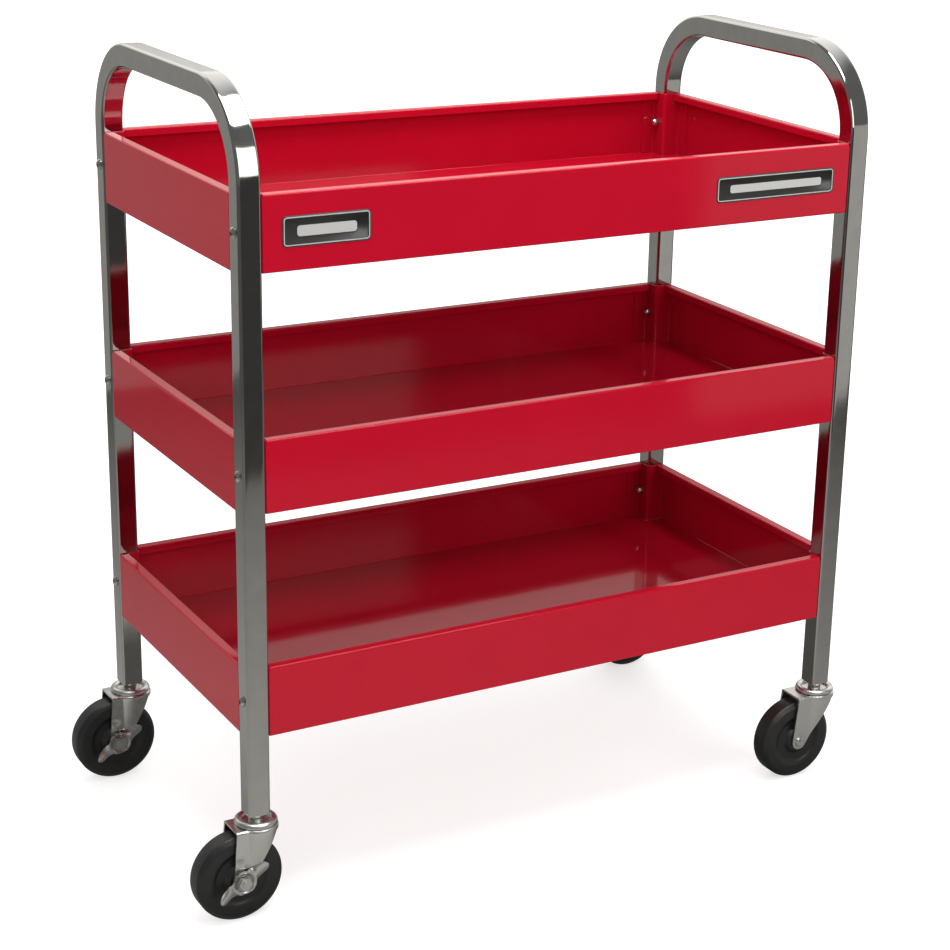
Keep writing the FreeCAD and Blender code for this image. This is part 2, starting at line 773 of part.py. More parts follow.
def brake_lever(label):
    """A pressed lever that rocks on the axle, with a foot tab turned out at each end."""
    body = new_body(label)
    plate = new_sketch(body, "XZ_Plane", label + "_disc", f"{FORK_Y} + brake_gap")
    draw_circle(plate, "brake_disc")
    pad(body, plate, "brake_sheet")
    arms = new_sketch(body, "XZ_Plane", label + "_arms", f"{FORK_Y} + brake_gap")
    draw_box(arms, "-brake_reach", "-brake_width / 2", "brake_reach", "brake_width / 2")
    pad(body, arms, "brake_sheet")
    tabs = new_sketch(body, "XZ_Plane", label + "_tabs", f"{FORK_Y} + brake_gap")
    inner = "(brake_reach - brake_sheet)"
    draw_box(tabs, inner, "-brake_width / 2", "brake_reach", "brake_width / 2")
    draw_box(tabs, "-brake_reach", "-brake_width / 2", f"-{inner}", "brake_width / 2")
    pad(body, tabs, "brake_tab")
    bore = new_sketch(body, "XZ_Plane", label + "_bore")
    draw_circle(bore, "axle_radius + running_gap")
    pocket(body, bore, "4 * fork_gap", middle=True)
    body.Placement = FreeCAD.Placement(FreeCAD.Vector(), FreeCAD.Rotation(FreeCAD.Vector(0, -1, 0), 1))
    bind(body, "Placement.Rotation.Angle", "brake_tilt")
    return body


def caster(corner, side, front, style):
    """One caster, placed under the leg at the given side and front or back."""
    across = f"{side} * (cart_length - tube_side) / 2"
    along = f"{front} * (cart_depth - tube_side) / 2"
    for piece in (
        caster_socket(f"{corner}_caster_socket"),
        caster_stem(f"{corner}_caster_stem"),
        raceway_cap(f"{corner}_raceway_cap"),
        bearing_balls(f"{corner}_bearing_balls"),
        fork(f"{corner}_fork", style),
    ):
        place(piece, across, along)
    axle_pieces = [wheel(f"{corner}_wheel"), hub_sleeve(f"{corner}_hub_sleeve")]
    if style == "brake":
        axle_pieces.append(axle_bolt(f"{corner}_axle_bolt"))
        axle_pieces.append(axle_nut(f"{corner}_axle_nut"))
        axle_pieces.append(brake_lever(f"{corner}_brake_lever"))
    else:
        axle_pieces.append(axle_rivet(f"{corner}_axle_rivet"))
    for piece in axle_pieces:
        place(piece, f"{across} - {style}_trail", along, "wheel_radius")


caster("front_left", -1, -1, "brake")
caster("back_left", -1, 1, "brake")
caster("front_right", 1, -1, "plain")
caster("back_right", 1, 1, "plain")


# ---- checks and files ---------------------------------------------------------------------

doc.recompute()
for item in doc.Objects:
    if "Invalid" in item.State or "Error" in item.State:
        raise SystemExit(f"{item.Name} failed: {item.State}")
    if item.TypeId in ("PartDesign::Pocket", "PartDesign::Groove"):
        if item.Shape.Volume > item.BaseFeature.Shape.Volume - 0.01:
            raise SystemExit(f"{item.Name} cuts nothing")
for node in nodes:
    if node.Shape.isNull() or not node.Shape.isValid() or not node.Shape.Solids:
        raise SystemExit(f"{node.Label} has no valid solid")
os.makedirs("parts", exist_ok=True)
for node in nodes:
    node.Shape.exportStep(f"parts/{node.Label}.step")
print(len(nodes), "nodes,", sum(len(node.Shape.Solids) for node in nodes), "solids")
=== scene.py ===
import math

import bmesh
import bpy
from mathutils import Matrix, Vector


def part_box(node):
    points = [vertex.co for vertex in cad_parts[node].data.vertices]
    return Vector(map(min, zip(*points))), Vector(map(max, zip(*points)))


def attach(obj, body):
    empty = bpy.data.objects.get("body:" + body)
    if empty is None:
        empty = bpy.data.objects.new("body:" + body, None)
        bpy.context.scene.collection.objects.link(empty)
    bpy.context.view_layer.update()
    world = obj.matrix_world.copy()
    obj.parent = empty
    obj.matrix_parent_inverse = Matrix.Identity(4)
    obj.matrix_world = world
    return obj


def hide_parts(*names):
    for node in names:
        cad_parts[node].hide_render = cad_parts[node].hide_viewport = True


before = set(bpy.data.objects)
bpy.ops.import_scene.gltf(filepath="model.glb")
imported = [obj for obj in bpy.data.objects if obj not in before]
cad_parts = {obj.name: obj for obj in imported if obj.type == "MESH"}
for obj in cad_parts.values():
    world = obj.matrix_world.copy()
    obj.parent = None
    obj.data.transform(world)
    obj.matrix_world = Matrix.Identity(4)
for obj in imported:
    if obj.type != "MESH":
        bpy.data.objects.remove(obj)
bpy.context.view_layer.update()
bpy.context.scene.view_settings.view_transform = "Standard"

# ---- end frames ---------------------------------------------------------------------------
# Each end of the cart is one square steel tube, bent into a tall U turned upside down and
# then polished and chrome plated. Its feet are open and its top is the push handle.

MM = 0.001
SMOOTH_UP_TO = math.radians(40)
BROKEN_FROM = math.radians(38)


def linear(hex_colour):
    """An sRGB hex colour as linear red, green, blue and alpha."""
    channels = [int(hex_colour[place:place + 2], 16) / 255 for place in (1, 3, 5)]
    light = [part / 12.92 if part <= 0.04045 else ((part + 0.055) / 1.055) ** 2.4 for part in channels]
    return [*light, 1]


def add(tree, kind, values=(), links=(), **settings):
    """Adds a node with its settings, its sockets' own values, and what is linked to its sockets."""
    node = tree.nodes.new(kind)
    for name, value in settings.items():
        setattr(node, name, value)
    for socket, value in dict(values).items():
        node.inputs[socket].default_value = value
    for socket, source in dict(links).items():
        tree.links.new(source, node.inputs[socket])
    return node


def new_material(name, values, links=None):
    """A material whose one shader has the given values; links(tree, place) gives what is linked."""
    material = bpy.data.materials.new(name)
    material.use_nodes = True
    tree = material.node_tree
    tree.nodes.clear()
    place = add(tree, "ShaderNodeTexCoord").outputs["Object"]
    shader = add(tree, "ShaderNodeBsdfPrincipled", values, links(tree, place) if links else ())
    add(tree, "ShaderNodeOutputMaterial", links={"Surface": shader.outputs["BSDF"]})
    return material


def new_edges(mesh, made):
    """The far edges of an extrusion: those between two of its new corners."""
    corners = {item for item in made if isinstance(item, bmesh.types.BMVert)}
    return [
        item for item in made
        if isinstance(item, bmesh.types.BMEdge) and all(corner in corners for corner in item.verts)
    ]


def extend(mesh, edges, move):
    """Extrudes the edges by the move and gives the new far edges."""
    made = bmesh.ops.extrude_edge_only(mesh, edges=edges)["geom"]
    corners = [item for item in made if isinstance(item, bmesh.types.BMVert)]
    bmesh.ops.translate(mesh, verts=corners, vec=move)
    return new_edges(mesh, made)


def turn_outwards(mesh, outward):
    """Makes the faces agree, so that the one furthest along the outward direction faces that way."""
    bmesh.ops.recalc_face_normals(mesh, faces=mesh.faces[:])
    furthest = max(mesh.faces, key=lambda face: face.calc_center_median().dot(outward))
    if furthest.normal.dot(outward) < 0:
        bmesh.ops.reverse_faces(mesh, faces=mesh.faces[:])


def make_piece(mesh, name, materials, body, stands_for=()):
    """Turns a bmesh into a piece that rides on a body, in place of the nodes it stands for."""
    data = bpy.data.meshes.new(name)
    mesh.to_mesh(data)
    mesh.free()
    data.shade_smooth()
    data.set_sharp_from_angle(angle=SMOOTH_UP_TO)
    for material in materials:
        data.materials.append(material)
    piece = bpy.data.objects.new(name, data)
    bpy.context.scene.collection.objects.link(piece)
    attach(piece, body)
    if stands_for:
        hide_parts(*stands_for)
    return piece


def finish_sheet(piece, thickness, edge):
    """Gives a folded surface its sheet thickness, inwards, and breaks its cut edges."""
    wall = piece.modifiers.new("Sheet thickness", "SOLIDIFY")
    wall.thickness = thickness
    wall.offset = -1
    break_edges(piece, edge)


def break_edges(piece, edge, segments=2):
    """Rounds sharp edges a little, as deburring does, and keeps the flats flat to the light."""
    bevel = piece.modifiers.new("Broken edges", "BEVEL")
    bevel.width = edge
    bevel.segments = segments
    bevel.limit_method = "ANGLE"
    bevel.angle_limit = BROKEN_FROM
    piece.modifiers.new("Flat faces", "WEIGHTED_NORMAL").keep_sharp = True


def polished_plating(tree, place):
    """A faint haze from polishing under the plating, and a surface that is never quite flat."""
    haze = add(tree, "ShaderNodeTexNoise", {"Scale": 1 / (18.2 * MM), "Detail": 4}, {"Vector": place})
    rough = add(
        tree, "ShaderNodeMapRange", {"To Min": 0.04, "To Max": 0.12}, {"Value": haze.outputs["Fac"]}
    )
    ripple = add(tree, "ShaderNodeTexNoise", {"Scale": 1 / (18 * MM), "Detail": 1}, {"Vector": place})
    bump = add(
        tree, "ShaderNodeBump", {"Strength": 0.08, "Distance": 0.3 * MM}, {"Height": ripple.outputs["Fac"]}
    )
    tint = add(
        tree, "ShaderNodeMix", {6: linear("#A9A9A6"), 7: linear("#B9B9B6")},
        {"Factor": haze.outputs["Fac"]}, data_type="RGBA",
    )
    return {
        "Base Color": tint.outputs[2],
        "Roughness": rough.outputs["Result"],
        "Normal": bump.outputs["Normal"],
    }


# Chrome plate over polished steel: a near mirror that is a little grey, with faint polishing haze.
chrome = new_material("polished_chrome_plate", {"Metallic": 1}, polished_plating)

TUBE_EDGE = 3 * MM
TUBE_WALL = 1.5 * MM
TUBE_DEBURR = 0.2 * MM
HANDLE_BEND = 101 * MM
BEND_STEPS = 28
OUTER_WALL_SINK = 0.4 * MM


def bent_tube(low, high):
    """Sweeps the rounded square up a leg, round the handle and down the other leg."""
    side = high.x - low.x
    middle = (low.x + high.x) / 2
    level = high.z - HANDLE_BEND
    tube = bmesh.new()
    bmesh.ops.create_grid(tube, x_segments=1, y_segments=1, size=side / 2)
    bmesh.ops.bevel(
        tube, geom=tube.verts[:], offset=TUBE_EDGE, segments=5, profile=0.5, affect="VERTICES", material=-1
    )
    flats = [edge for edge in tube.edges if edge.calc_length() > side / 2]
    bmesh.ops.subdivide_edges(tube, edges=flats, cuts=5)
    bmesh.ops.delete(tube, geom=tube.faces[:], context="FACES_ONLY")
    bmesh.ops.translate(tube, verts=tube.verts[:], vec=(middle, low.y + side / 2, low.z))
    ring = extend(tube, tube.edges[:], (0, 0, level - low.z))
    for centre, run in ((low.y + HANDLE_BEND, (0, 1, 0)), (high.y - HANDLE_BEND, (0, 0, -1))):
        corners = list({corner for edge in ring for corner in edge.verts})
        turned = bmesh.ops.spin(
            tube, geom=corners + ring, cent=(middle, centre, level), axis=(1, 0, 0),
            angle=-math.pi / 2, steps=BEND_STEPS, use_duplicate=False,
        )["geom_last"]
        ring = [item for item in turned if isinstance(item, bmesh.types.BMEdge)]
        length = high.y - low.y - 2 * HANDLE_BEND if run[1] else level - low.z
        ring = extend(tube, ring, Vector(run) * length)
    # Bending draws the outer wall in a little between its edges.
    flat = side / 2 - TUBE_EDGE
    for corner in tube.verts:
        across = abs(corner.co.x - middle)
        centre = low.y + HANDLE_BEND if corner.co.y < (low.y + high.y) / 2 else high.y - HANDLE_BEND
        out = Vector((0, corner.co.y - centre, corner.co.z - level))
        beyond = out.y * (1 if centre > (low.y + high.y) / 2 else -1)
        if across < flat and out.z > 0 and beyond > 0 and out.length > HANDLE_BEND - 0.1 * MM:
            turn = math.atan2(out.z, beyond)
            sink = OUTER_WALL_SINK * (1 - (across / flat) ** 2) * math.sin(2 * turn) ** 2
            corner.co -= out.normalized() * sink
    turn_outwards(tube, Vector((0, 0, 1)))
    return tube


for end in ("left", "right"):
    node = f"{end}_end_frame"
    tube = bent_tube(*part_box(node))
    piece = make_piece(tube, f"{end}_bent_tube", [chrome], "cart", [node])
    finish_sheet(piece, TUBE_WALL, TUBE_DEBURR)

# ---- trays --------------------------------------------------------------------------------
# Each tray is folded from one sheet of mild steel: four walls turned up from the floor, and a rim
# turned in and down to stiffen them. It is powder coated in gloss red after folding.

SHEET = 1 * MM
SHEET_DEBURR = 0.3 * MM
FOLD = 1.8 * MM
RIM_DEPTH = 12 * MM
RIM_LIP = 9 * MM
NOTCH_GAP = 1 * MM
RIM_RELIEF = 1.6 * MM
WAVE_SHARE = 6
leg_low, leg_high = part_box("left_end_frame")
far_leg_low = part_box("right_end_frame")[0]
tube_side = leg_high.x - leg_low.x


def powder_coat(tree, place):
    """Orange peel a few millimetres across, and a gloss that varies a little with the film."""
    peel = add(tree, "ShaderNodeTexNoise", {"Scale": 1 / (2.5 * MM), "Detail": 1}, {"Vector": place})
    waves = add(tree, "ShaderNodeTexNoise", {"Scale": 1 / (60 * MM), "Detail": 2}, {"Vector": place})
    height = add(
        tree, "ShaderNodeMath", {1: WAVE_SHARE}, {0: waves.outputs["Fac"], 2: peel.outputs["Fac"]},
        operation="MULTIPLY_ADD",
    )
    bump = add(
        tree, "ShaderNodeBump", {"Strength": 0.3, "Distance": 0.04 * MM}, {"Height": height.outputs["Value"]}
    )
    rough = add(
        tree, "ShaderNodeMapRange", {"To Min": 0.06, "To Max": 0.1}, {"Value": waves.outputs["Fac"]}
    )
    film = add(
        tree, "ShaderNodeMix", {6: linear("#A70A22"), 7: linear("#AF0B25")},
        {"Factor": waves.outputs["Fac"]}, data_type="RGBA",
    )
    return {
        "Base Color": film.outputs[2],
        "Roughness": rough.outputs["Result"],
        "Normal": bump.outputs["Normal"],
    }


# Gloss polyester powder coat: deep red with a clear highlight over a fine orange peel.
red_coat = new_material(
    "gloss_red_powder_coat", {"IOR": 1.5, "Specular IOR Level": 0.36}, powder_coat
)


def folded_tray(low, high):
    """Cuts the notched floor, turns the walls up and the rim in and down, and rounds the folds."""
    lines_x = [low.x, leg_high.x + NOTCH_GAP, far_leg_low.x - NOTCH_GAP, high.x]
    notch = leg_low.y + tube_side + NOTCH_GAP
    lines_y = [low.y, notch, -notch, high.y]
    tray = bmesh.new()
    bmesh.ops.create_grid(tray, x_segments=3, y_segments=3, size=1)
    for corner in tray.verts:
        column, row = round((corner.co.x + 1) * 1.5), round((corner.co.y + 1) * 1.5)
        corner.co = (lines_x[column], lines_y[row], low.z)
    notches = [
        face for face in tray.faces
        if not lines_x[1] < face.calc_center_median().x < lines_x[2]
        and abs(face.calc_center_median().y) > -notch
    ]
    bmesh.ops.delete(tray, geom=notches, context="FACES")
    middle = (low + high) / 2
    sides = []
    for axis, value in ((0, low.x), (0, high.x), (1, low.y), (1, high.y)):
        edges = [
            edge for edge in tray.edges
            if all(abs(end.co[axis] - value) < MM / 10 for end in edge.verts)
        ]
        inward = Vector((0, 0, 0))
        inward[axis] = 1 if value < middle[axis] else -1
        sides.append((axis, edges, inward))
    for axis, edges, inward in sides:
        wall = extend(tray, edges, (0, 0, high.z - low.z - RIM_LIP / 2))
        top = extend(tray, wall, (0, 0, RIM_LIP / 2))
        for corner in {corner for edge in top for corner in edge.verts}:
            along = 1 - axis
            corner.co[along] -= math.copysign(RIM_RELIEF, corner.co[along] - middle[along])
        rim = extend(tray, top, inward * RIM_DEPTH)
        extend(tray, rim, (0, 0, -RIM_LIP))
    folds = [edge for edge in tray.edges if len(edge.link_faces) == 2 and edge.calc_face_angle() > 1]
    bmesh.ops.bevel(tray, geom=folds, offset=FOLD, segments=4, profile=0.5, affect="EDGES", material=-1)
    turn_outwards(tray, Vector((0, 0, -1)))
    return tray


for level in ("upper", "middle", "lower"):
    node = f"{level}_tray"
    tray = folded_tray(*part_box(node))
    piece = make_piece(tray, f"{level}_folded_tray", [red_coat], "cart", [node])
    finish_sheet(piece, SHEET, SHEET_DEBURR)

# ---- corner brackets ----------------------------------------------------------------------
# A strip of sheet steel folded round the two inner faces of the leg stands in each tray corner.
# Its flanges are spot-welded to the tray's walls before coating, so it has the same red coat.

BRACKET_SHEET = 1.2 * MM
BRACKET_GAP = 0.2 * MM
BRACKET_FLANGE = 18 * MM
BRACKET_FOLD = 2.6 * MM


def mirror_copy(mesh, axis, centre):
    """Adds the mirror image of the whole mesh about a plane, with its faces turned to suit."""
    everything = mesh.verts[:] + mesh.edges[:] + mesh.faces[:]
    copied = bmesh.ops.duplicate(mesh, geom=everything)["geom"]
    corners = [item for item in copied if isinstance(item, bmesh.types.BMVert)]
    faces = [item for item in copied if isinstance(item, bmesh.types.BMFace)]
    flip = Vector((1, 1, 1))
    flip[axis] = -1
    offset = Vector((0, 0, 0))
    offset[axis] = -centre
    bmesh.ops.scale(mesh, verts=corners, vec=flip, space=Matrix.Translation(offset))
    bmesh.ops.reverse_faces(mesh, faces=faces)


for level in ("upper", "middle", "lower"):
    tray_low, tray_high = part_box(f"{level}_tray")
    wall_x, wall_y = tray_low.x + SHEET, tray_low.y + SHEET
    leg_x, leg_y = leg_high.x + BRACKET_GAP, leg_low.y + tube_side + BRACKET_GAP
    reach = BRACKET_SHEET + BRACKET_FLANGE
    plan = [
        (leg_x + reach, wall_y), (leg_x, wall_y), (leg_x, leg_y), (wall_x, leg_y), (wall_x, leg_y + reach),
    ]
    strip = bmesh.new()
    ends = [strip.verts.new((x, y, tray_low.z + SHEET)) for x, y in plan]
    for start, end in zip(ends, ends[1:]):
        strip.edges.new((start, end))
    bmesh.ops.bevel(
        strip, geom=ends[1:-1], offset=BRACKET_FOLD, segments=4, profile=0.5, affect="VERTICES", material=-1
    )
    top = extend(strip, strip.edges[:], (0, 0, tray_high.z - tray_low.z - 2 * SHEET - FOLD))
    wrap = [
        edge for edge in top
        if max(end.co.x for end in edge.verts) < leg_x + BRACKET_FOLD + MM / 10
        and max(end.co.y for end in edge.verts) < leg_y + BRACKET_FOLD + MM / 10
        and min(end.co.x - wall_x for end in edge.verts) + min(end.co.y - wall_y for end in edge.verts) > 0
    ]
    extend(strip, wrap, (0, 0, SHEET + FOLD - BRACKET_GAP))
    turn_outwards(strip, Vector((-1, 0, 0)))
    mirror_copy(strip, 1, (tray_low.y + tray_high.y) / 2)
    mirror_copy(strip, 0, (tray_low.x + tray_high.x) / 2)
    node = f"{level}_corner_brackets"
    piece = make_piece(strip, f"{level}_folded_brackets", [red_coat], "cart", [node])
    finish_sheet(piece, BRACKET_SHEET, SHEET_DEBURR)

# ---- tray screws and dome nuts --------------------------------------------------------------
# Pan-head machine screws pass through each leg from the cart's end, and a closed dome nut holds
# each one on the bracket's inner face. Both are steel with bright nickel plate.


def bright_plate(tree, place):
    """Small dulled patches, as thin plating has after handling."""
    dull = add(tree, "ShaderNodeTexNoise", {"Scale": 1 / (3 * MM), "Detail": 3}, {"Vector": place})
    rough = add(
        tree, "ShaderNodeMapRange", {"To Min": 0.12, "To Max": 0.32}, {"Value": dull.outputs["Fac"]}
    )
    tint = add(
        tree, "ShaderNodeMix", {6: linear("#B4B3AE"), 7: linear("#D2D1CC")},
        {"Factor": dull.outputs["Fac"]}, data_type="RGBA",
    )
    return {"Base Color": tint.outputs[2], "Roughness": rough.outputs["Result"]}


# Nickel plate on turned steel: warm white metal, bright with duller patches.
nickel = new_material("bright_nickel_plate", {"Metallic": 1}, bright_plate)


def dress(node, material):
    """Gives a node's own mesh the material."""
    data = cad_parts[node].data
    data.materials.clear()
    data.materials.append(material)


for level in ("upper", "middle", "lower"):
    dress(f"{level}_tray_screws", nickel)
    dress(f"{level}_dome_nuts", nickel)

# ---- badge plates ---------------------------------------------------------------------------
# Two dark plates with rounded corners are stuck to the upper tray's front. Each has a raised
# silver border line just inside its edge, and one plain silver bar with nothing written on it.

BADGE_CORNER = 5 * MM
BADGE_MARGIN = 1.4 * MM
BADGE_LINE = 1.1 * MM
BADGE_RELIEF = 0.25 * MM
# Each plate's side of the cart, and its bar's length and height.
BADGE_BARS = (("left", 66 * MM, 11 * MM), ("right", 126 * MM, 9 * MM))


def moulded_satin(tree, place):
    """A very fine spark-eroded grain, drawn coarser than life so that it shows."""
    grain = add(tree, "ShaderNodeTexNoise", {"Scale": 1 / (0.9 * MM), "Detail": 2}, {"Vector": place})
    bump = add(
        tree, "ShaderNodeBump", {"Strength": 0.25, "Distance": 0.05 * MM}, {"Height": grain.outputs["Fac"]}
    )
    tint = add(
        tree, "ShaderNodeMix", {6: linear("#2A2A29"), 7: linear("#343433")},
        {"Factor": grain.outputs["Fac"]}, data_type="RGBA",
    )
    return {"Base Color": tint.outputs[2], "Normal": bump.outputs["Normal"]}


# Moulded ABS with a satin face: soft dark grey with a wide dull highlight.
badge_face = new_material("satin_moulded_abs", {"Roughness": 0.45, "IOR": 1.53}, moulded_satin)


def hot_foil(tree, place):
    """Foil pressed over the grain underneath."""
    grain = add(tree, "ShaderNodeTexNoise", {"Scale": 1 / (0.9 * MM), "Detail": 2}, {"Vector": place})
    rough = add(
        tree, "ShaderNodeMapRange", {"To Min": 0.3, "To Max": 0.5}, {"Value": grain.outputs["Fac"]}
    )
    return {"Roughness": rough.outputs["Result"]}


# Silver hot-stamping foil on the raised lines: pale and softly metallic.
foil = new_material("silver_hot_foil", {"Metallic": 0.6, "Base Color": linear("#D6D6D3")}, hot_foil)


def upright_plate(low, high, corner_radius):
    """A rounded rectangle standing on the panel, facing -Y, as one face at the plate's front."""
    plate = bmesh.new()
    bmesh.ops.create_grid(plate, x_segments=1, y_segments=1, size=0.5)
    size = high - low
    bmesh.ops.scale(plate, verts=plate.verts[:], vec=(size.x, size.z, 1))
    upright = Matrix.Rotation(math.pi / 2, 3, "X")
    bmesh.ops.rotate(plate, verts=plate.verts[:], cent=(0, 0, 0), matrix=upright)
    centre = (low + high) / 2
    bmesh.ops.translate(plate, verts=plate.verts[:], vec=(centre.x, low.y, centre.z))
    bmesh.ops.bevel(
        plate, geom=plate.verts[:], offset=corner_radius, segments=6, profile=0.5, affect="VERTICES",
        material=-1,
    )
    return plate


def give_back(plate, depth):
    """Extrudes the front face's outline back to the panel and closes it behind."""
    made = bmesh.ops.extrude_face_region(plate, geom=plate.faces[:])["geom"]
    corners = [item for item in made if isinstance(item, bmesh.types.BMVert)]
    bmesh.ops.translate(plate, verts=corners, vec=(0, -depth, 0))


for side, bar_length, bar_height in BADGE_BARS:
    low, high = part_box(f"{side}_badge")
    thickness = high.y - low.y
    plate = upright_plate(Vector((low.x, high.y, low.z)), high, BADGE_CORNER)
    give_back(plate, thickness - BADGE_RELIEF)
    turn_outwards(plate, Vector((0, -1, 0)))
    front = [face for face in plate.faces if face.normal.y < -0.9]
    bmesh.ops.inset_region(plate, faces=front, thickness=BADGE_MARGIN, use_even_offset=True)
    ring = bmesh.ops.inset_region(plate, faces=front, thickness=BADGE_LINE, use_even_offset=True)["faces"]
    line = bmesh.ops.extrude_face_region(plate, geom=ring)["geom"]
    corners = [item for item in line if isinstance(item, bmesh.types.BMVert)]
    bmesh.ops.translate(plate, verts=corners, vec=(0, -BADGE_RELIEF, 0))
    for item in line:
        if isinstance(item, bmesh.types.BMFace):
            item.material_index = 1
    turn_outwards(plate, Vector((0, -1, 0)))
    make_piece(plate, f"{side}_badge_plate", [badge_face, foil], "cart", [f"{side}_badge"])
    centre = (low + high) / 2
    centre.y = low.y + BADGE_RELIEF
    half = Vector((bar_length / 2, 0, bar_height / 2))
    bar = upright_plate(centre - half, centre + half, bar_height * 0.3)
    give_back(bar, BADGE_RELIEF)
    turn_outwards(bar, Vector((0, -1, 0)))
    make_piece(bar, f"{side}_badge_bar", [foil], "cart")

# ---- caster sockets, stems and bearings -------------------------------------------------------
# A zinc-plated plug is driven into each foot and holds the caster's stem. Under it a pressed cap
# covers the ring of loose hardened balls that the fork turns on.

CORNERS = ("front_left", "back_left", "front_right", "back_right")


def zinc_blotches(tree, place):
    """Zinc plate's cloudy patches over the fine grain of the pressed steel."""
    cloud = add(tree, "ShaderNodeTexNoise", {"Scale": 1 / (14 * MM), "Detail": 5}, {"Vector": place})
    fine = add(tree, "ShaderNodeTexNoise", {"Scale": 1 / (1.6 * MM), "Detail": 3}, {"Vector": place})
    tint = add(
        tree, "ShaderNodeMix", {6: linear("#BFC0BE"), 7: linear("#E4E4E0")},
        {"Factor": cloud.outputs["Fac"]}, data_type="RGBA",
    )
    rough = add(
        tree, "ShaderNodeMapRange", {"From Min": 0.3, "From Max": 0.7, "To Min": 0.2, "To Max": 0.42},
        {"Value": cloud.outputs["Fac"]},
    )
    bump = add(
        tree, "ShaderNodeBump", {"Strength": 0.2, "Distance": 0.05 * MM}, {"Height": fine.outputs["Fac"]}
    )
    return {
        "Base Color": tint.outputs[2],
        "Roughness": rough.outputs["Result"],
        "Normal": bump.outputs["Normal"],
    }


# Bright zinc plate on pressed steel: grey metal with soft, slightly cloudy reflections.
zinc = new_material("bright_zinc_plate", {"Metallic": 1}, zinc_blotches)


def lapped_steel(tree, place):
    """A trace of grease dulls the balls in places."""
    film = add(tree, "ShaderNodeTexNoise", {"Scale": 1 / (2 * MM), "Detail": 2}, {"Vector": place})
    rough = add(
        tree, "ShaderNodeMapRange", {"To Min": 0.05, "To Max": 0.25}, {"Value": film.outputs["Fac"]}
    )
    return {"Roughness": rough.outputs["Result"]}


# Hardened chrome steel, ground and lapped: dark mirror-bright balls.
ball_steel = new_material(
    "lapped_bearing_steel", {"Metallic": 1, "Base Color": linear("#A8A8A8")}, lapped_steel
)

for corner in CORNERS:
    dress(f"{corner}_caster_socket", zinc)
    dress(f"{corner}_caster_stem", zinc)
    dress(f"{corner}_bearing_balls", ball_steel)
    dress(f"{corner}_raceway_cap", zinc)

# ---- forks --------------------------------------------------------------------------------
# Each fork is pressed from thick sheet steel: a round head over the balls, a flat plate behind it,
# and two tapering legs folded down beside the wheel. It is zinc plated after pressing.

FORK_SHEET = 2.5 * MM
PRESSED_DEBURR = 0.5 * MM
FORK_SKIRT = 6 * MM
FORK_HEAD = 24.5 * MM
FORK_TIP = 10 * MM
FORK_FOLD = 3 * MM
FORK_DROP = 72 * MM
FORK_FLARE = 22 * MM
HEAD_STEPS = 60
BOW_STEPS = 6
TIP_STEPS = 12
# How far apart the cuts across the legs are, and how many there are along X and up Z.
MESH_STEP = 4 * MM
CUTS_ALONG = 22
CUTS_UP = 18
# The boss over each end of a braked fork's axle: how far behind it, how far up, and its size.
BOSS_BACK = 2 * MM
BOSS_RISE = 20 * MM
BOSS_RADIUS = 6.5 * MM
BOSS_HEIGHT = 3 * MM
# How far each style's top plate reaches back, where its leg starts in front, and its front bow.
FORK_STYLES = {"brake": (29.5 * MM, 17 * MM, 170 * MM), "plain": (36 * MM, 11.5 * MM, 0)}


def slice_faces(mesh, faces, point, normal, clear=True):
    """Cuts the faces with a plane and, where clear is set, throws away what lies beyond it."""
    edges = {edge for face in faces for edge in face.edges}
    corners = {corner for face in faces for corner in face.verts}
    bmesh.ops.bisect_plane(
        mesh, geom=list(faces) + list(edges) + list(corners), dist=MM / 1000, plane_co=point,
        plane_no=normal, clear_outer=clear,
    )


def legs_of(mesh, below):
    """The faces of the two legs, which hang below the skirt."""
    return [face for face in mesh.faces if face.calc_center_median().z < below]


def tangent(centre, radius, point, side):
    """The unit normal, in the XZ plane, of the line through the point that grazes the circle."""
    reach = point - centre
    toward = reach.normalized()
    aside = Vector((toward.z, 0, -toward.x)) * side
    share = radius / reach.length
    return toward * share + aside * math.sqrt(1 - share * share)


